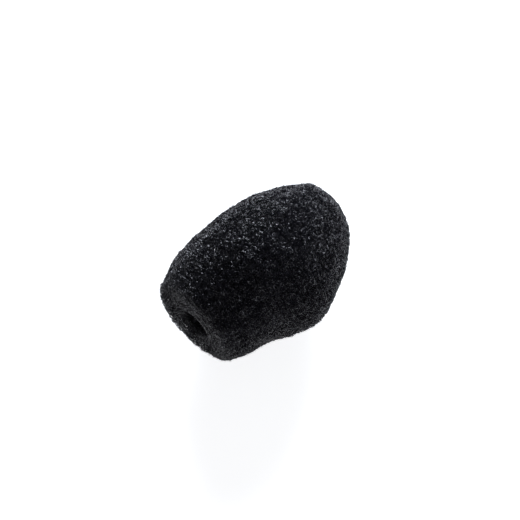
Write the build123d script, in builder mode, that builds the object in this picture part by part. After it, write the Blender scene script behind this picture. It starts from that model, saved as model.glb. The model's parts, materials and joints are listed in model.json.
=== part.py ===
import os

from build123d import *

# A slip-on foam windscreen for a slim studio microphone, lying on its side.
# +X runs from the open mouth to the closed nose along the microphone's axis, and +Z is up.
# The origin is the centre of the mouth. All sizes are in millimetres.

# Outer shape: a half ellipsoid for the nose, and an arc that narrows to the mouth.
neck_length = 53.0  # mouth to the widest section
nose_length = 64.0  # widest section to the nose tip
belly_radius = 43.0  # radius of the widest section
mouth_radius = 31.0  # outer radius at the mouth
neck_lean = 4.4  # how far the belly's centre sits to the -Y side of the mouth's
lean_start = 10.0  # where the neck, straight from the mouth, begins to lean
rest_flat = 0.8  # depth of the flat that the foam's own weight presses under the belly

# Glued seam between the two foam halves: an upright plane, turned a little off the axis.
seam_x = 50.0  # where the seam plane crosses the axis
seam_yaw = 15.6  # degrees between the seam plane and the axis
seam_film = 0.3  # thickness of the dried glue

# Microphone bore, and the pocket for its sleeve.
bore_radius = 10.0  # relaxed radius around the microphone, through the lip and the sleeve
bore_depth = 72.0  # mouth to the end disc
lip_length = 8.0  # coarse foam at the mouth that covers the sleeve's end
sleeve_wall = 2.5  # fine foam sleeve around the microphone
disc_thickness = 4.0  # fine foam disc at the blind end
glue_gap = 0.1  # room for glue between the sleeve or disc and the coarse foam

# Working values.
sleeve_radius = bore_radius + sleeve_wall
pocket_radius = sleeve_radius + glue_gap
pocket_start = lip_length - glue_gap
pocket_end = bore_depth + disc_thickness + glue_gap
whole_length = neck_length + nose_length
rim_rounding = 1.2  # softened outer edge of the mouth
neck_sections = 7  # rings that carry the leaning neck

# The neck's arc is tangent to the widest section and ends at the mouth radius.
neck_drop = belly_radius - mouth_radius
neck_arc = (neck_length**2 + neck_drop**2) / (2 * neck_drop)


def neck_radius(x):
    """Outer radius of the neck at a distance x from the mouth."""
    reach = neck_length - x
    return belly_radius - neck_arc + (neck_arc**2 - reach**2) ** 0.5


def belly_shift(x):
    """Sideways place of the section at x: an S-curve from the mouth's axis to the belly's."""
    share = max(0.0, x - lean_start) / (neck_length - lean_start)
    return -neck_lean * share**2 * (3 - 2 * share)


belly_y = belly_shift(neck_length)
seam_plane = Plane(
    origin=(seam_x, belly_y, 0),
    x_dir=Vector(1, 0, 0).rotate(Axis.Z, seam_yaw),
    z_dir=Vector(0, 1, 0).rotate(Axis.Z, seam_yaw),
)
far_face = seam_plane.offset(seam_film / 2)
near_face = seam_plane.offset(-seam_film / 2)
floor_plane = Plane.XY.offset(rest_flat - belly_radius)

# The whole outline as one blank, which each half and the glue film are cut from.
with BuildPart() as blank:
    for step in range(neck_sections):
        x = neck_length * step / (neck_sections - 1)
        with BuildSketch(Plane.YZ.offset(x)):
            with Locations((belly_shift(x), 0)):
                Circle(neck_radius(x))
    loft()
    fillet(blank.faces().sort_by(Axis.X)[0].edges(), rim_rounding)
    with BuildSketch(Plane.XY.move(Location((0, belly_y, 0)))):
        with BuildLine():
            start = (neck_length, belly_radius)
            EllipticalCenterArc((neck_length, 0), nose_length, belly_radius, start_angle=0, arc_size=90)
            Polyline(start, (neck_length, 0), (whole_length, 0))
        make_face()
    revolve(axis=Axis((0, belly_y, 0), (1, 0, 0)))
    split(bisect_by=floor_plane, keep=Keep.TOP)
    with BuildSketch(Plane.YZ):
        Circle(bore_radius)
    extrude(amount=lip_length, mode=Mode.SUBTRACT)
    with BuildSketch(Plane.YZ.offset(pocket_start)):
        Circle(pocket_radius)
    extrude(amount=pocket_end - pocket_start, mode=Mode.SUBTRACT)

# Far half of the coarse foam, on the +Y side of the seam.
with BuildPart() as far_foam_half:
    add(blank.part)
    split(bisect_by=far_face, keep=Keep.TOP)
far_foam_half.part.label = "far_foam_half"

# Near half of the coarse foam, on the -Y side of the seam.
with BuildPart() as near_foam_half:
    add(blank.part)
    split(bisect_by=near_face, keep=Keep.BOTTOM)
near_foam_half.part.label = "near_foam_half"

# Dried glue that joins the halves, as wide as the foam it lies in.
with BuildPart() as seam_glue_film:
    add(blank.part)
    split(bisect_by=far_face, keep=Keep.BOTTOM)
    split(bisect_by=near_face, keep=Keep.TOP)
seam_glue_film.part.label = "seam_glue_film"

# Sleeve of finer foam, trapped in the pocket behind the lip, that grips the microphone.
with BuildPart() as inner_sleeve:
    with BuildSketch(Plane.YZ.offset(lip_length)):
        Circle(sleeve_radius)
        Circle(bore_radius, mode=Mode.SUBTRACT)
    extrude(amount=bore_depth - lip_length)
inner_sleeve.part.label = "inner_sleeve"

# Disc of the same fine foam that closes the blind end of the sleeve.
with BuildPart() as sleeve_end_disc:
    with BuildSketch(Plane.YZ.offset(bore_depth)):
        Circle(sleeve_radius)
    extrude(amount=disc_thickness)
sleeve_end_disc.part.label = "sleeve_end_disc"

os.makedirs("parts", exist_ok=True)
for piece in (far_foam_half, near_foam_half, seam_glue_film, inner_sleeve, sleeve_end_disc):
    export_step(piece.part, "parts/" + piece.part.label + ".step")
    print(piece.part.label, round(piece.part.volume), "mm3")
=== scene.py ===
import json
import math

import bmesh
import bpy
import numpy as np
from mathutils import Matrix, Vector


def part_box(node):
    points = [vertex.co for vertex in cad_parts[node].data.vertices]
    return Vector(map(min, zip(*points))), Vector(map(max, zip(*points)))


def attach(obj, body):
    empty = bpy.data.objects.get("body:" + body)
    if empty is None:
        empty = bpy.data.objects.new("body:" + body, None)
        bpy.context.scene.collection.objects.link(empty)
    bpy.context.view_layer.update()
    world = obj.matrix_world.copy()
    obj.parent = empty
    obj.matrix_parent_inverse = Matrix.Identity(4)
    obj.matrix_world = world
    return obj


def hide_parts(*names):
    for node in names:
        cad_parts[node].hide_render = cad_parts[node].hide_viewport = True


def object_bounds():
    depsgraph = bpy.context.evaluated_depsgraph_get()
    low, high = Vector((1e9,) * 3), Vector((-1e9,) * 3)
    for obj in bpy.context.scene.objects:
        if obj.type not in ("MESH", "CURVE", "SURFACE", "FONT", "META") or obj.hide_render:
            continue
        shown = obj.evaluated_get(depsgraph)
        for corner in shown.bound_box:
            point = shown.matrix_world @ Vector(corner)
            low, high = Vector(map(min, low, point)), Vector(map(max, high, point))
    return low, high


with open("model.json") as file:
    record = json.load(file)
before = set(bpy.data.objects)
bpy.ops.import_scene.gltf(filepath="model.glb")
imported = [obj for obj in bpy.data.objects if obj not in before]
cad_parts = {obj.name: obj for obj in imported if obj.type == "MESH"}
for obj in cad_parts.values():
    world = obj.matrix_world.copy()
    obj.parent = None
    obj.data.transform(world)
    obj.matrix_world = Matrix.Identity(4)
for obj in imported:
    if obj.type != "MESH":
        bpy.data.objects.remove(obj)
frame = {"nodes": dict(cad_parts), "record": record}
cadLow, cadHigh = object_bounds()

# A coarse foam windscreen for a slim microphone, lying on its side.
# Shapes are worked out in millimetres, and put into the meshes in metres.
mm = 0.001
tiny = 1e-6                        # keeps a length that is divided by above zero
glueGap = 0.1                      # room for glue round the sleeve and its end disc
mounts = {m["name"]: m for m in frame["record"]["mounts"]}
bore = mounts["microphone_bore"]["dims"]
farLow, farHigh = [np.array(corner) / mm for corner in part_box("far_foam_half")]
nearHigh = np.array(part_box("near_foam_half")[1]) / mm
sleeveLow, sleeveHigh = [np.array(corner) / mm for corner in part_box("inner_sleeve")]

bodyShape = {
    "length": nearHigh[0],         # mouth to nose tip
    "neckLength": 53.0,            # mouth to the widest section
    "bellyRadius": farHigh[2],     # radius of the widest section
    "mouthRadius": 31.0,           # outer radius at the mouth
    "neckLean": 4.4,               # how far the belly's axis sits to the -Y side of the mouth's
    "leanStart": 10.0,             # where the neck begins to lean
    "restHeight": farLow[2],       # the floor under the belly
    "rimRounding": 3.0,            # softened edge between the mouth and the sides
    "noseTurn": 2.2,               # how far the nose tip sits to the +Y side of the belly's axis
    "noseSlim": 8.0,               # strength of the nose's slimming, which takes off up to a fifth of this
    "noseSlimEnd": 1.1,            # where that slimming would end, as a share of the nose's length
    "neckSlim": 1.5,               # how much slimmer the body is at its most, just behind the mouth
    "neckSlimPlace": 4.0,
    "neckSlimSpread": 20.0,
    "mouthSwell": 3.4,             # how far the lower far part of the mouth stands forward
    "swellWay": (0.6, -0.8),       # the way from the axis to that part, along Y and Z
    "waist": 4.2,                  # hollow on the near side of the neck
    "waistPlace": 30.0,
    "waistSpread": 14.0,
    "hip": 2.0,                    # fullness on the near side of the belly
    "hipPlace": 60.0,
    "hipSpread": 12.0,
    "lumps": 0.15,                 # how uneven the cut surface is: it strays by up to twice this
    # the pace of each slow wave along x, y and z, in radians a millimetre, and its start
    "lumpWaves": ((0.31, 0.0, 0.23, 0.0), (-0.19, 0.27, 0.0, 2.0), (0.0, 0.21, 0.36, 4.0)),
}
noseLength = bodyShape["length"] - bodyShape["neckLength"]

seam = {
    "x": 50.0,                     # where the seam crosses the axis
    "yaw": math.radians(15.6),     # its turn from the axis
    "gap": 0.3,                    # thickness of the glue between the halves
    "glueDepth": 2.5,              # how far the glue stops short of the surface
    "ridge": 2.6,                  # how far the surface stands up along the seam
    "ridgeWidth": 8.0,             # how quickly the ridge falls away
    "ridgeFrom": 12.0,             # the ridge fades out between these two places
    "ridgeFull": 62.0,
}

coarseFoam = {
    "cell": 1.9,                   # spacing of the foam's cells
    "jitter": 0.36,                # how far a cell may stray, as a share of the spacing
    "warp": 0.8,                   # slow drift of the whole lattice, so that no rows show
    "strut": 0.195,                # reach of a joint's corners from its middle
    "layer": 2.5,                  # depth of foam that is made strut by strut
    "backing": 2.45,               # depth of the foam behind it, drawn darker than the strands as painted shade of the deeper cells
    "fray": 1.1,                   # how far cut cells stand out of the surface or stop short of it
    "sunk": 0.12,                  # how far the cut lies below the smooth shape, as a share of the fray
    "boreFlare": 3.5,              # rounding of the bore's edge at the mouth
    "flareTurn": 0.6,              # how much wider the rounding is on the near side
    "margin": 3.0,                 # room round the object for cells that stand out of it
    # pieces that each half's strut layer is cut into, from the mouth
    "bands": ("Mouth", "Neck", "Waist", "Belly", "Shoulder", "Nose"),
    "seed": 11,
}

# the finer foam of the sleeve, whose first values mean what the coarse foam's do
fineFoam = {
    "cell": 1.3,
    "jitter": 0.34,
    "warp": 0.3,
    "strut": 0.07,
    "fray": 0.2,
    "sunk": 0.0,
    "seed": 37,
    "layer": 1.6,                  # depth of the strut layer, from the bore outwards
    "reach": 18.0,                 # how far along the sleeve its struts are made
    "margin": 1.0,                 # room for cells round the sleeve and before its end
    "endMargin": 3.0,              # room for cells past the reach
    "tubeStart": 0.3,              # how far the plain tube stops short of the sleeve's end
    "tubeStep": 0.4,               # half the length over which the tube comes in to the bore
    "turns": 96,                   # sides of the plain tube
}

# what both foams' networks of struts share
network = {
    # share of the warp and pace, in radians a millimetre, of each wave that shifts the lattice
    "warpWaves": ((1.0, 0.37), (0.5, 0.8), (0.25, 1.7)),
    "crossPace": 1.2,              # how much quicker the second wave of each pair is
    "cellMargin": 2.2,             # how far outside the layer a centre is still used, in cells
    "thin": 0.35,                  # a joint under this share of the median volume counts as flattened
    "girth": (0.8, 1.25),          # range of the joints' size, as a share of the strut value
    "stub": (0.15, 0.9),           # where a cut strut ends, at the least and most, as a share of its way
}


def smoothStep(low, high, value):
    # 0 below low, 1 above high, and a cubic S between
    share = np.clip((value - low) / (high - low), 0, 1)
    return share * share * (3 - 2 * share)


def plainCentre(x):
    # sideways place of the section at x: an S-curve from the mouth's axis to the belly's
    return -bodyShape["neckLean"] * smoothStep(bodyShape["leanStart"], bodyShape["neckLength"], x)


def centreLine(x):
    # the plain centre, turned a little back again towards the nose tip, as a parabola
    past = np.maximum(x - bodyShape["neckLength"], 0) / noseLength
    return plainCentre(x) + bodyShape["noseTurn"] * past**2


def seamSide(points):
    # signed distance from the upright seam plane, positive on the far side
    turn = seam["yaw"]
    across = points[:, 1] + bodyShape["neckLean"]
    return across * math.cos(turn) - (points[:, 0] - seam["x"]) * math.sin(turn)


def sideDepth(points):
    # depth below the side: the neck is an arc that is tangent to the widest section,
    # and the nose is a half ellipsoid, whose depth is (1 - f) / |gradient of f|
    radius, neck = bodyShape["bellyRadius"], bodyShape["neckLength"]
    drop = radius - bodyShape["mouthRadius"]
    arc = (neck**2 + drop**2) / (2 * drop)
    along = points[:, 0] - neck
    out = np.hypot(points[:, 1] - centreLine(points[:, 0]), points[:, 2])
    neckDepth = arc - np.hypot(along, out + arc - radius)
    full = np.maximum(np.hypot(along / noseLength, out / radius), tiny)
    slope = np.hypot(along / noseLength**2, out / radius**2) / full
    return np.where(along < 0, neckDepth, (1 - full) / np.maximum(slope, tiny))


def ridgeHeight(points):
    # the surface stands up along the seam, most at the nose, and falls away on each side
    away = np.abs(seamSide(points)) / seam["ridgeWidth"]
    return seam["ridge"] * np.exp(-away) * smoothStep(seam["ridgeFrom"], seam["ridgeFull"], points[:, 0])


def nearBulge(points):
    # a hollow at the waist and a fullness at the hip, on the near side: bell curves along the
    # axis that fade round the body
    across = points[:, 1] - centreLine(points[:, 0])
    facing = np.clip(-across / np.maximum(np.hypot(across, points[:, 2]), tiny), 0, 1)
    waist = np.exp(-((points[:, 0] - bodyShape["waistPlace"]) / bodyShape["waistSpread"]) ** 2)
    hip = np.exp(-((points[:, 0] - bodyShape["hipPlace"]) / bodyShape["hipSpread"]) ** 2)
    return (bodyShape["hip"] * hip - bodyShape["waist"] * waist) * facing**2


def slimming(points):
    # a cubic along the nose, most about three quarters of the way along it, and a bell curve
    # behind the mouth
    past = np.clip((points[:, 0] - bodyShape["neckLength"]) / noseLength, 0, 1)
    neck = np.exp(-((points[:, 0] - bodyShape["neckSlimPlace"]) / bodyShape["neckSlimSpread"]) ** 2)
    nose = past**2 * (bodyShape["noseSlimEnd"] - past)
    return -bodyShape["noseSlim"] * nose - bodyShape["neckSlim"] * neck


def lumps(points):
    # crossed slow waves, so that the cut surface isn't quite true: the mean of their sines, doubled
    x, y, z = points.T
    waves = bodyShape["lumpWaves"]
    total = sum(np.sin(a * x + b * y + c * z + start) for a, b, c, start in waves)
    return bodyShape["lumps"] * total / (len(waves) / 2)


def relief(points):
    # everything that the visible surface adds to the plain shape of the sides
    return ridgeHeight(points) + nearBulge(points) + slimming(points) + lumps(points)


def foamDepth(points):
    # least depth below the sides, the mouth and the floor, with the mouth's rim rounded:
    # near the rim it is the distance to an arc instead of to the two planes
    side = sideDepth(points) + relief(points)
    wayY, wayZ = bodyShape["swellWay"]
    swell = np.clip((wayY * points[:, 1] + wayZ * points[:, 2]) / bodyShape["mouthRadius"], 0, 1)
    mouth = points[:, 0] + bodyShape["mouthSwell"] * swell
    r = bodyShape["rimRounding"]
    rim = r - np.hypot(np.maximum(r - side, 0), np.maximum(r - mouth, 0))
    depth = np.where((side < r) & (mouth < r), rim, np.minimum(side, mouth))
    return np.minimum(depth, points[:, 2] - bodyShape["restHeight"])


def turnMatrix(rng):
    # a random turn: the orthogonal part of a random matrix, with its sign set to a proper turn
    q, _ = np.linalg.qr(rng.normal(size=(3, 3)))
    return q * np.sign(np.linalg.det(q))


def warped(points, reach, rng):
    # waves of three lengths shift each coordinate by the other two
    shifted = points.copy()
    for share, pace in network["warpWaves"]:
        phase = rng.uniform(0, 2 * np.pi, (2, 3))
        first = np.sin(pace * points[:, [1, 2, 0]] + phase[0])
        second = np.sin(network["crossPace"] * pace * points[:, [2, 0, 1]] + phase[1])
        shifted += reach * share * (first + second) / 2
    return shifted


# a joint's four faces, as numbers of its corners in outward order: each leaves one corner out
jointFaces = np.array([(1, 2, 3), (0, 3, 2), (0, 1, 3), (0, 2, 1)])


def foamJoints(foam, low, high, inLayer):
    # Cell centres sit on a body-centred lattice, turned, warped and jittered. Four neighbouring
    # centres enclose one joint of the foam: an edge between two corner centres, with each of the
    # four pairs of body centres around it. Gives each joint's four centre numbers, the centres'
    # places, and their places on the even lattice.
    rng = np.random.default_rng(foam["seed"])
    turn, cell = turnMatrix(rng), foam["cell"]
    middle = (low + high) / 2
    reach = int(np.ceil(np.linalg.norm(high - low) / 2 / cell)) + 2
    side = 2 * reach + 1
    index = np.indices((side, side, side)).reshape(3, -1).T
    flat = (index[:, None] - reach + np.array([[0.0], [0.5]])) * cell
    flat = (flat @ turn.T + middle).reshape(-1, 3)
    stray = rng.uniform(-1, 1, flat.shape) * foam["jitter"] * cell
    places = (warped(flat, foam["warp"], rng) + stray).reshape(-1, 2, 3)
    flat = flat.reshape(-1, 2, 3)
    inside = np.all((index > 0) & (index < side - 1), axis=1)
    inside &= inLayer(places[:, 0], network["cellMargin"] * cell)
    start = index[inside]
    stride = np.array([side * side, side, 1])
    joints = []
    for axis in range(3):
        first, second = np.eye(3, dtype=int)[[(axis + 1) % 3, (axis + 2) % 3]]
        edge = [2 * (start @ stride), 2 * ((start + np.eye(3, dtype=int)[axis]) @ stride)]
        around = [(-1, -1), (0, -1), (0, 0), (-1, 0)]
        body = [2 * ((start + a * first + b * second) @ stride) + 1 for a, b in around]
        joints += [np.stack([*edge, body[m], body[(m + 1) % 4]], axis=1) for m in range(4)]
    joints = np.concatenate(joints)
    return joints, places.reshape(-1, 3), flat.reshape(-1, 3)


def sixfold(corners):
    # six times the signed volume of each four-cornered cell joint
    edges = corners[:, 1:] - corners[:, :1]
    return np.einsum("ij,ij->i", edges[:, 0], np.cross(edges[:, 1], edges[:, 2]))


def foamStruts(foam, low, high, inLayer, outerDepth, innerDepth):
    # Each joint of four cells is a small tetrahedron round the cells' mean point, and each pair of
    # joints that share three cells is joined by a three-sided strut. Gives the joints' corner
    # points, the joints' middles and depths, which joints are in the layer, each strut as its
    # corners here and there and its joints here and there, and the faces that carry no strut.
    joints, places, flat = foamJoints(foam, low, high, inLayer)
    turned = sixfold(flat[joints]) < 0
    joints[turned] = joints[turned][:, [0, 1, 3, 2]]
    corners = places[joints]
    middle = corners.mean(axis=1)
    away = corners - middle[:, None]
    # a joint that the jitter has nearly flattened or turned over keeps its even shape
    even = flat[joints] - flat[joints].mean(axis=1, keepdims=True)
    thin = sixfold(corners) < network["thin"] * np.median(sixfold(corners))
    away[thin] = even[thin]
    away /= np.linalg.norm(away, axis=2, keepdims=True)
    rng = np.random.default_rng(foam["seed"] + 1)
    girth = foam["strut"] * rng.uniform(*network["girth"], (len(middle), 1, 1))
    points = (middle[:, None] + girth * away).reshape(-1, 3)
    # each cell is cut a little early or late, and a joint follows the mean of its four cells
    early = rng.uniform(-1, 1, len(places))[joints].mean(axis=1)
    outer = outerDepth(middle) + foam["fray"] * (early - foam["sunk"])
    keep = (outer > 0) & (innerDepth(middle) > 0)
    # match the joints' faces by the three cells that they share
    cells = joints[:, jointFaces].reshape(-1, 3)
    local = (4 * np.arange(len(joints))[:, None, None] + jointFaces).reshape(-1, 3)
    ordered = np.sort(cells, axis=1).astype(np.int64)
    count = len(places)
    key = (ordered[:, 0] * count + ordered[:, 1]) * count + ordered[:, 2]
    order = np.argsort(key, kind="stable")
    same = key[order][1:] == key[order][:-1]
    here, there = order[:-1][same], order[1:][same]
    match = np.argmax(cells[there][:, None, :] == cells[here][:, :, None], axis=2)
    a = local[here]
    b = np.take_along_axis(local[there], match, axis=1)
    jointA, jointB = here // 4, there // 4
    # both directions of each strut; b's own corners run the other way round
    a, b = np.concatenate([a, b[:, ::-1]]), np.concatenate([b, a[:, ::-1]])
    jointA, jointB = np.concatenate([jointA, jointB]), np.concatenate([jointB, jointA])
    alone = np.setdiff1d(np.arange(len(cells)), np.concatenate([here, there]))
    return {"points": points, "middle": middle, "outer": outer, "keep": keep,
            "struts": (a, b, jointA, jointB), "bare": local[alone]}


def strutMesh(name, made, mine):
    # the struts of the chosen joints, as a closed mesh. A strut to a joint that isn't
    # chosen ends half way, and one that leaves the foam ends where its depth reaches zero,
    # within the range given for a stub
    points, outer = made["points"], made["outer"]
    a, b, jointA, jointB = made["struts"]
    fromMine = mine[jointA]
    whole = fromMine & mine[jointB] & (jointA < jointB)
    cut = fromMine & ~mine[jointB]
    depthA, depthB = outer[jointA[cut]], outer[jointB[cut]]
    crossing = np.clip(depthA / np.maximum(depthA - depthB, tiny), *network["stub"])
    share = np.where(depthB < 0, crossing, 0.5)
    tips = points[a[cut]] + share[:, None, None] * (points[b[cut]] - points[a[cut]])
    tipIndex = len(points) + np.arange(tips.size // 3).reshape(-1, 3)
    allPoints = np.concatenate([points, tips.reshape(-1, 3)])
    ends = np.concatenate([b[whole], tipIndex])
    starts = np.concatenate([a[whole], a[cut]])
    nextStart, nextEnd = np.roll(starts, -1, axis=1), np.roll(ends, -1, axis=1)
    quads = np.stack([starts, nextStart, nextEnd, ends], axis=2).reshape(-1, 4)
    bare = made["bare"][mine[made["bare"][:, 0] // 4]]
    caps = np.concatenate([tipIndex, bare])
    used, packed = np.unique(np.concatenate([quads.ravel(), caps.ravel()]), return_inverse=True)
    quads = packed[:quads.size].reshape(-1, 4)
    caps = packed[quads.size:].reshape(-1, 3)
    return newMesh(name, allPoints[used] * mm, [quads, caps], smooth=False)


def newMesh(name, points, faceSets, smooth=True):
    # a mesh from an array of points and arrays of faces, each with one number of corners
    mesh = bpy.data.meshes.new(name)
    mesh.vertices.add(len(points))
    mesh.vertices.foreach_set("co", np.ascontiguousarray(points, np.float32).ravel())
    loops = np.concatenate([faces.ravel() for faces in faceSets])
    sizes = np.concatenate([np.full(len(faces), faces.shape[1]) for faces in faceSets])
    starts = np.concatenate([[0], np.cumsum(sizes)[:-1]])
    mesh.loops.add(len(loops))
    mesh.loops.foreach_set("vertex_index", loops.astype(np.int32))
    mesh.polygons.add(len(sizes))
    mesh.polygons.foreach_set("loop_start", starts.astype(np.int32))
    mesh.polygons.foreach_set("use_smooth", np.full(len(sizes), smooth))
    mesh.update(calc_edges=True)
    mesh.validate()
    return mesh


def addPiece(name, mesh, material, nodes):
    # puts a mesh in the scene on the one body, in place of CAD nodes, with its material and slot
    piece = bpy.data.objects.new(name, mesh)
    bpy.context.scene.collection.objects.link(piece)
    mesh.materials.append(material)
    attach(piece, "root")
    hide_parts(*nodes)
    return piece


mapMargin = 0.02                   # how far the foam's map keeps from the edges of its square


def wrapMap(mesh, sign):
    # a map on the mesh: along the axis, and the angle about it, zero at the middle of the half's side
    count = len(mesh.vertices)
    places = np.empty(count * 3, np.float32)
    mesh.vertices.foreach_get("co", places)
    x, y, z = places.reshape(-1, 3).T / mm
    angle = np.arctan2(z, sign * (y - centreLine(x)))
    across = mapMargin + (1 - 2 * mapMargin) * x / bodyShape["length"]
    up = 0.5 + (0.5 - mapMargin) * angle / np.pi
    spot = np.stack([across, up], axis=1)
    corner = np.empty(len(mesh.loops), np.int32)
    mesh.loops.foreach_get("vertex_index", corner)
    layer = mesh.uv_layers.new(name="OFBake")
    layer.uv.foreach_set("vector", spot[corner].astype(np.float32).ravel())


def newGroup(name, inputs, outputs):
    # an empty node group with number inputs and named outputs
    group = bpy.data.node_groups.new(name, "ShaderNodeTree")
    for label, value in inputs.items():
        socket = group.interface.new_socket(label, in_out="INPUT", socket_type="NodeSocketFloat")
        socket.default_value = value
    for label, kind in outputs.items():
        group.interface.new_socket(label, in_out="OUTPUT", socket_type=kind)
    nodes = group.nodes
    return group, nodes, group.links, nodes.new("NodeGroupInput"), nodes.new("NodeGroupOutput")


def objectNoise(nodes, links, scale, detail):
    # noise on the object's own coordinates, with its scale from a socket
    coordinates = nodes.new("ShaderNodeTexCoord")
    noise = nodes.new("ShaderNodeTexNoise")
    noise.inputs["Detail"].default_value = detail
    links.new(coordinates.outputs["Object"], noise.inputs["Vector"])
    links.new(scale, noise.inputs["Scale"])
    return noise


def mapRange(nodes, links, source, low, high, toLow, toHigh):
    # carries a value from one range to another
    node = nodes.new("ShaderNodeMapRange")
    for label, value in (("From Min", low), ("From Max", high), ("To Min", toLow), ("To Max", toHigh)):
        node.inputs[label].default_value = value
    links.new(source, node.inputs["Value"])
    return node.outputs["Result"]


# scales are in waves a metre
tones = {
    "patchScale": 40.0,
    "patchDetail": 2.0,
    "speckleScale": 700.0,
    "speckleDetail": 1.0,
    "speckleShare": 0.4,           # how much the speckle counts against the patches
    "range": (0.35, 0.65),         # the noise values that become 0 and 1
}


def foamToneGroup():
    # slow patches and a fine speckle, mixed and spread, as one value from 0 to 1
    scales = {"Patch Scale": tones["patchScale"], "Speckle Scale": tones["speckleScale"]}
    group, nodes, links, given, out = newGroup("foamTone", scales, {"Tone": "NodeSocketFloat"})
    patch = objectNoise(nodes, links, given.outputs["Patch Scale"], tones["patchDetail"])
    speckle = objectNoise(nodes, links, given.outputs["Speckle Scale"], tones["speckleDetail"])
    mix = nodes.new("ShaderNodeMix")
    mix.inputs["Factor"].default_value = tones["speckleShare"]
    links.new(patch.outputs["Fac"], mix.inputs["A"])
    links.new(speckle.outputs["Fac"], mix.inputs["B"])
    spread = mapRange(nodes, links, mix.outputs["Result"], *tones["range"], 0.0, 1.0)
    links.new(spread, out.inputs["Tone"])
    return group


def porePatternGroup():
    # a web of strands between pores: 1 at the edges of cells scattered at the given scale, falling
    # evenly to 0 at the strand's width from them
    group, nodes, links, given, out = newGroup(
        "porePattern", {"Cell Scale": 420.0, "Strand": 0.12}, {"Web": "NodeSocketFloat"})
    coordinates = nodes.new("ShaderNodeTexCoord")
    edge = nodes.new("ShaderNodeTexVoronoi")
    edge.feature = "DISTANCE_TO_EDGE"
    links.new(coordinates.outputs["Object"], edge.inputs["Vector"])
    links.new(given.outputs["Cell Scale"], edge.inputs["Scale"])
    web = nodes.new("ShaderNodeMapRange")
    web.inputs["From Min"].default_value = 0.0
    web.inputs["To Min"].default_value = 1.0
    web.inputs["To Max"].default_value = 0.0
    links.new(edge.outputs["Distance"], web.inputs["Value"])
    links.new(given.outputs["Strand"], web.inputs["From Max"])
    links.new(web.outputs["Result"], out.inputs["Web"])
    return group


foamTone = foamToneGroup()
porePattern = porePatternGroup()


# what the deep foam, the dried glue and the floor share
matt = {"roughness": 0.9, "specular": 0.1}
bumpStrength = 0.8                 # of the raised strands in the deep foam and the glue


def newMaterial(name, roughness, specular):
    # a material with its own Principled shader
    material = bpy.data.materials.new(name)
    material.use_nodes = True
    shader = material.node_tree.nodes["Principled BSDF"]
    shader.inputs["Roughness"].default_value = roughness
    shader.inputs["Specular IOR Level"].default_value = specular
    return material, material.node_tree.nodes, material.node_tree.links, shader


def colourBetween(nodes, links, factor, dark, light):
    # a colour between two, by a value
    mix = nodes.new("ShaderNodeMix")
    mix.data_type = "RGBA"
    mix.inputs["A"].default_value = (*dark, 1)
    mix.inputs["B"].default_value = (*light, 1)
    links.new(factor, mix.inputs["Factor"])
    return mix.outputs["Result"]


def strutFinish(name, dark, light, roughness, specular):
    # the foam's strands: near black with slow patches, and a slight shine
    material, nodes, links, shader = newMaterial(name, roughness, specular)
    tone = nodes.new("ShaderNodeGroup")
    tone.node_tree = foamTone
    links.new(colourBetween(nodes, links, tone.outputs["Tone"], dark, light), shader.inputs["Base Color"])
    return material


def shadedDepthAndGlueFinish(name, cellScale, strand, dark, light, bumpDepth):
    # foam seen through its outer cells, darker than its strands with painted shade of the deeper cells and
    # its pores painted darkest; or dried glue in its own colour: pores in a dim web, with its strands raised
    material, nodes, links, shader = newMaterial(name, **matt)
    pores = nodes.new("ShaderNodeGroup")
    pores.node_tree = porePattern
    pores.inputs["Cell Scale"].default_value = cellScale
    pores.inputs["Strand"].default_value = strand
    links.new(colourBetween(nodes, links, pores.outputs["Web"], dark, light), shader.inputs["Base Color"])
    bump = nodes.new("ShaderNodeBump")
    bump.inputs["Strength"].default_value = bumpStrength
    bump.inputs["Distance"].default_value = bumpDepth
    links.new(pores.outputs["Web"], bump.inputs["Height"])
    links.new(bump.outputs["Normal"], shader.inputs["Normal"])
    return material


# cell scales are in cells a metre, a strand is a share of a cell, and bump depths are in metres
finishes = {
    "coarseStrand": {
        "dark": (0.006, 0.006, 0.009), "light": (0.014, 0.014, 0.020), "roughness": 0.25, "specular": 0.5},
    "fineStrand": {
        "dark": (0.014, 0.014, 0.016), "light": (0.024, 0.024, 0.026), "roughness": 0.5, "specular": 0.5},
    # the deep foam's colours are painted shade: darker than the strands, for the cells deeper down
    "coarseDeep": {
        "cellScale": 540.0, "strand": 0.11, "bumpDepth": 0.0006,
        "dark": (0.001, 0.001, 0.0012), "light": (0.007, 0.007, 0.008)},
    # the sleeve's deep foam is painted shade too, darker than its strands
    "fineDeep": {
        "cellScale": 950.0, "strand": 0.13, "bumpDepth": 0.0003,
        "dark": (0.0015, 0.0015, 0.0018), "light": (0.010, 0.010, 0.011)},
    "glue": {
        "cellScale": 300.0, "strand": 0.2, "bumpDepth": 0.0002,
        "dark": (0.004, 0.004, 0.005), "light": (0.010, 0.010, 0.011)},
}
coarseStrand = strutFinish("coarse_foam_strands", **finishes["coarseStrand"])
fineStrand = strutFinish("fine_foam_strands", **finishes["fineStrand"])
coarseDeep = shadedDepthAndGlueFinish("coarse_foam_depth", **finishes["coarseDeep"])
fineDeep = shadedDepthAndGlueFinish("fine_foam_depth", **finishes["fineDeep"])
seamGlue = shadedDepthAndGlueFinish("dried_seam_glue", **finishes["glue"])
print("finishes made")


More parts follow.
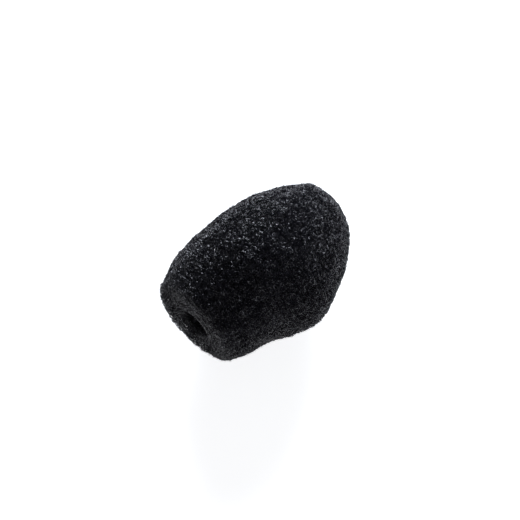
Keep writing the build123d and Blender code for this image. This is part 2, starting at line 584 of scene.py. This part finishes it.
view = {
    "azimuth": math.radians(-44.4),
    "elevation": math.radians(65.5),
    "distance": 0.867,             # metres
    "lens": 100.0,                 # millimetres, as is the sensor
    "sensor": 36.0,
    "clipEnd": 50.0,               # metres
    "target": (0.0571, 0.0025, 0.0002),
}
studio = {
    "floorSize": 8.0,              # metres
    "floorColour": (0.90, 0.90, 0.90),
    "floorGlow": 0.75,             # light that the floor gives of itself
    "sky": 0.10,                   # light from all round
    "lampDistance": 1.3,           # metres from the target
    "lampColour": (0.86, 0.90, 1.0),
    # each soft lamp's direction from the object, its side in metres and its power in watts
    "lamps": {
        "key": ((0.74, 0.68, 0.42), 0.8, 42.0),
        "fill": ((0.50, -0.80, 0.38), 0.8, 7.0),
        "back": ((-0.80, -0.10, 0.35), 0.8, 0.6),
    },
}


def pointAt(item, place, target):
    # an object at a place with its -Z axis towards the target
    direction = np.array(target) - np.array(place)
    item.location = place
    item.rotation_mode = "QUATERNION"
    item.rotation_quaternion = Vector(direction).to_track_quat("-Z", "Y")


def makeCamera():
    # the camera at its distance from the target, turned by its azimuth and raised by its elevation
    data = bpy.data.cameras.new("camera")
    data.lens = view["lens"]
    data.sensor_width = view["sensor"]
    data.clip_end = view["clipEnd"]
    camera = bpy.data.objects.new("camera", data)
    bpy.context.scene.collection.objects.link(camera)
    a, e = view["azimuth"], view["elevation"]
    back = np.array((math.sin(a) * math.cos(e), -math.cos(a) * math.cos(e), math.sin(e)))
    pointAt(camera, np.array(view["target"]) + back * view["distance"], view["target"])
    bpy.context.scene.camera = camera


def makeStudio():
    # a pale glowing floor under the object, a pale backdrop and three soft lamps
    half = studio["floorSize"] / 2
    around = [(-half, -half), (half, -half), (half, half), (-half, half)]
    corners = np.array([(x, y, cadLow[2]) for x, y in around])
    floor = bpy.data.objects.new("floor", newMesh("floor", corners, [np.array([(0, 1, 2, 3)])]))
    bpy.context.scene.collection.objects.link(floor)
    material, nodes, links, shader = newMaterial("pale_floor", **matt)
    shader.inputs["Base Color"].default_value = (*studio["floorColour"], 1)
    shader.inputs["Emission Color"].default_value = (1, 1, 1, 1)
    shader.inputs["Emission Strength"].default_value = studio["floorGlow"]
    floor.data.materials.append(material)
    world = bpy.data.worlds.new("studio")
    world.use_nodes = True
    world.node_tree.nodes["Background"].inputs["Color"].default_value = (1, 1, 1, 1)
    # the camera sees the backdrop white, and it lights the object only by the sky's share
    nodes, links = world.node_tree.nodes, world.node_tree.links
    path = nodes.new("ShaderNodeLightPath")
    strength = mapRange(nodes, links, path.outputs["Is Camera Ray"], 0.0, 1.0, studio["sky"], 1.0)
    links.new(strength, nodes["Background"].inputs["Strength"])
    bpy.context.scene.world = world
    aim = np.array(view["target"])
    for name, (way, size, power) in studio["lamps"].items():
        lamp = bpy.data.lights.new(name, "AREA")
        lamp.energy = power
        lamp.size = size
        lamp.color = studio["lampColour"]
        item = bpy.data.objects.new(name, lamp)
        bpy.context.scene.collection.objects.link(item)
        pointAt(item, aim + np.array(way) / np.linalg.norm(way) * studio["lampDistance"], aim)


makeCamera()
makeStudio()
bpy.context.scene.view_settings.view_transform = "Standard"
print("camera and studio made")


# how near, in millimetres, a corner of a CAD solid has to be to count as part of each face
nearness = {
    "pocket": 0.15,                # outside the sleeve
    "pocketEnd": 10.0,             # past the sleeve's end, which takes in the end disc
    "mouth": 1.0,
    "lip": 0.2,
    "seam": 0.02,
    "same": 1e-3,                  # two corners this close are one
}


def sunkenCopy(node, depth):
    # A copy of a half or of the glue, drawn in by a depth, with the relief added. The nose shrinks
    # as an ellipsoid, and the neck is drawn in along its radius. The microphone's pocket keeps its
    # place, and points on the seam go back to its plane.
    bm = bmesh.new()
    bm.from_mesh(frame["nodes"][node].data)
    bmesh.ops.remove_doubles(bm, verts=bm.verts, dist=nearness["same"] * mm)
    mesh = bpy.data.meshes.new(node + "Sunken")
    bm.to_mesh(mesh)
    bm.free()
    places = np.empty(len(mesh.vertices) * 3, np.float32)
    mesh.vertices.foreach_get("co", places)
    p = places.reshape(-1, 3).astype(float) / mm
    side = seamSide(p)
    neck, radius = bodyShape["neckLength"], bodyShape["bellyRadius"]
    offset = p[:, 1] - plainCentre(p[:, 0])
    out = np.maximum(np.hypot(offset, p[:, 2]), tiny)
    boreOut = np.hypot(p[:, 1], p[:, 2])
    wall = (boreOut < sleeveHigh[2] + nearness["pocket"]) & (p[:, 0] < sleeveHigh[0] + nearness["pocketEnd"])
    along = p[:, 0] - neck
    surface = np.where(along > 0, out * (1 - depth / radius), out - depth)
    # the relief is added along the ellipsoid's own direction on the nose, and straight out on the neck
    steep = np.hypot(np.maximum(along, 0) / noseLength**2, out / radius**2)
    surface += relief(p) * (out / radius**2) / steep
    forward = np.where(wall, 0, relief(p) * (np.maximum(along, 0) / noseLength**2) / steep)
    inOut = np.where(wall, out, surface)
    noseX = neck + along * (1 - depth / noseLength)
    newX = np.where(along > 0, noseX, depth + p[:, 0] * (1 - depth / neck))
    newX = np.where(wall & (p[:, 0] > nearness["mouth"]), p[:, 0], newX) + forward
    moved = np.stack([newX, centreLine(newX) + offset * inOut / out, p[:, 2] * inOut / out], axis=1)
    moved[wall, 1:] = p[wall, 1:]
    # the lip's own wall is drawn back, to leave room for its struts
    lip = (boreOut < bore["r_mm"] + nearness["lip"]) & (p[:, 0] < sleeveLow[0] + nearness["lip"])
    moved[lip, 1:] = p[lip, 1:] * ((bore["r_mm"] + depth) / boreOut[lip])[:, None]
    onSeam = np.abs(np.abs(side) - seam["gap"] / 2) < nearness["seam"]
    drift = seamSide(moved) - side
    moved[onSeam, 1] -= drift[onSeam] / math.cos(seam["yaw"])
    mesh.vertices.foreach_set("co", (moved * mm).astype(np.float32).ravel())
    mesh.materials.clear()
    mesh.polygons.foreach_set("use_smooth", np.zeros(len(mesh.polygons), bool))
    mesh.update()
    return mesh


def makeCoarseFoam():
    # One network of struts runs through both halves, over the thin glue line. Each half's share is
    # cut along the axis into bands with equal numbers of joints, and has its depth behind it, drawn darker
    # as painted shade.
    boreFlare = coarseFoam["boreFlare"]
    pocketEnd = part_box("sleeve_end_disc")[1][0] / mm + glueGap
    low = np.array(cadLow) / mm - coarseFoam["margin"]
    high = np.array(cadHigh) / mm + coarseFoam["margin"]

    def inLayer(points, room):
        return (foamDepth(points) > -room) & (innerDepth(points) > -room)

    def fromLip(points):
        # distance outside the bore through the lip, whose edge is rounded as a quarter ellipse,
        # wider on the near side
        out = np.hypot(points[:, 1], points[:, 2])
        width = boreFlare * (1 - coarseFoam["flareTurn"] * points[:, 1] / np.maximum(out, tiny))
        curve = 1 - np.sqrt(1 - np.clip(1 - points[:, 0] / boreFlare, 0, 1) ** 2)
        return out - bore["r_mm"] - width * curve

    def outerDepth(points):
        # depth below the outside, the lip's bore and the pocket's wall, whichever is least
        fromPocket = np.hypot(points[:, 1], points[:, 2]) - sleeveHigh[2] - glueGap
        fromBore = np.where(points[:, 0] < sleeveLow[0], fromLip(points), fromPocket)
        fromInside = np.where(points[:, 0] < pocketEnd, fromBore, coarseFoam["layer"])
        return np.minimum(foamDepth(points), fromInside)

    def innerDepth(points):
        # what is left of the layer, counted from the outside or from the lip's bore
        lip = np.maximum(fromLip(points), points[:, 0] - sleeveLow[0])
        return coarseFoam["layer"] - np.minimum(foamDepth(points), lip)

    made = foamStruts(coarseFoam, low, high, inLayer, outerDepth, innerDepth)
    middle, keep = made["middle"], made["keep"]
    side = seamSide(middle)
    for label, node, sign in (("farFoam", "far_foam_half", 1), ("nearFoam", "near_foam_half", -1)):
        mine = keep & (sign * side > 0)
        edges = np.quantile(middle[mine, 0], np.linspace(0, 1, len(coarseFoam["bands"]) + 1))
        edges[0], edges[-1] = -np.inf, np.inf
        for band, part in enumerate(coarseFoam["bands"]):
            inBand = mine & (middle[:, 0] >= edges[band]) & (middle[:, 0] < edges[band + 1])
            mesh = strutMesh(label + part, made, inBand)
            wrapMap(mesh, sign)
            addPiece(label + part, mesh, coarseStrand, [node])
            print(label + part, len(mesh.polygons), "faces")
        # the sunken copy shows the deeper foam in painted shade
        backing = sunkenCopy(node, coarseFoam["backing"])
        addPiece(label + "Depth", backing, coarseDeep, [node])


makeCoarseFoam()
print("coarse foam made")


def revolved(name, profile, turns):
    # a closed profile of (x, radius) points turned about the microphone's axis
    profile = np.array(profile)
    angle = np.linspace(0, 2 * np.pi, turns, endpoint=False)[:, None]
    x = np.broadcast_to(profile[:, 0], (turns, len(profile)))
    points = np.stack([x, profile[:, 1] * np.cos(angle), profile[:, 1] * np.sin(angle)], axis=2)
    index = np.arange(turns * len(profile)).reshape(turns, -1)
    ahead, beside = np.roll(index, -1, axis=0), np.roll(index, -1, axis=1)
    both = np.roll(ahead, -1, axis=1)
    quads = np.stack([index, ahead, both, beside], axis=2).reshape(-1, 4)
    return newMesh(name, points.reshape(-1, 3) * mm, [quads])


def makeSleeve():
    # the sleeve's struts, where they can be seen from the mouth, and the plain tube behind them in painted
    # shade
    inner, outer = bore["r_mm"], sleeveHigh[2]
    start, stop, layer = sleeveLow[0], sleeveHigh[0], fineFoam["layer"]
    margin, turn = fineFoam["margin"], start + fineFoam["reach"]
    low = np.array([start - margin, -outer - margin, -outer - margin])
    high = np.array([turn + fineFoam["endMargin"], outer + margin, outer + margin])

    def outerDepth(points):
        out = np.hypot(points[:, 1], points[:, 2])
        return np.minimum(np.minimum(out - inner, outer - out), points[:, 0] - start)

    def innerDepth(points):
        bare = np.hypot(points[:, 1], points[:, 2]) - inner
        return np.minimum(layer - bare, turn - points[:, 0])

    def inLayer(points, room):
        return (outerDepth(points) > -room) & (innerDepth(points) > -room)

    made = foamStruts(fineFoam, low, high, inLayer, outerDepth, innerDepth)
    rim = strutMesh("sleeveRim", made, made["keep"])
    print("sleeveRim", len(rim.polygons), "faces")
    addPiece("sleeveRim", rim, fineStrand, ["inner_sleeve"])
    # behind the struts the tube is plain pores, drawn darker than the strands as painted shade of the deeper
    # cells; past them it comes in to the bore
    front, step = start + fineFoam["tubeStart"], fineFoam["tubeStep"]
    profile = [(front, inner + layer), (front, outer), (stop, outer), (stop, inner),
               (turn + step, inner), (turn - step, inner + layer)]
    tube = revolved("sleeveTube", profile, fineFoam["turns"])
    addPiece("sleeveTube", tube, fineDeep, ["inner_sleeve"])


makeSleeve()
# the end disc deep in the bore takes the same painted shade
disc = frame["nodes"]["sleeve_end_disc"]
disc.data.materials.clear()
disc.data.materials.append(fineDeep)
glue = sunkenCopy("seam_glue_film", seam["glueDepth"])
addPiece("seamGlue", glue, seamGlue, ["seam_glue_film"])
print("sleeve and seam made")
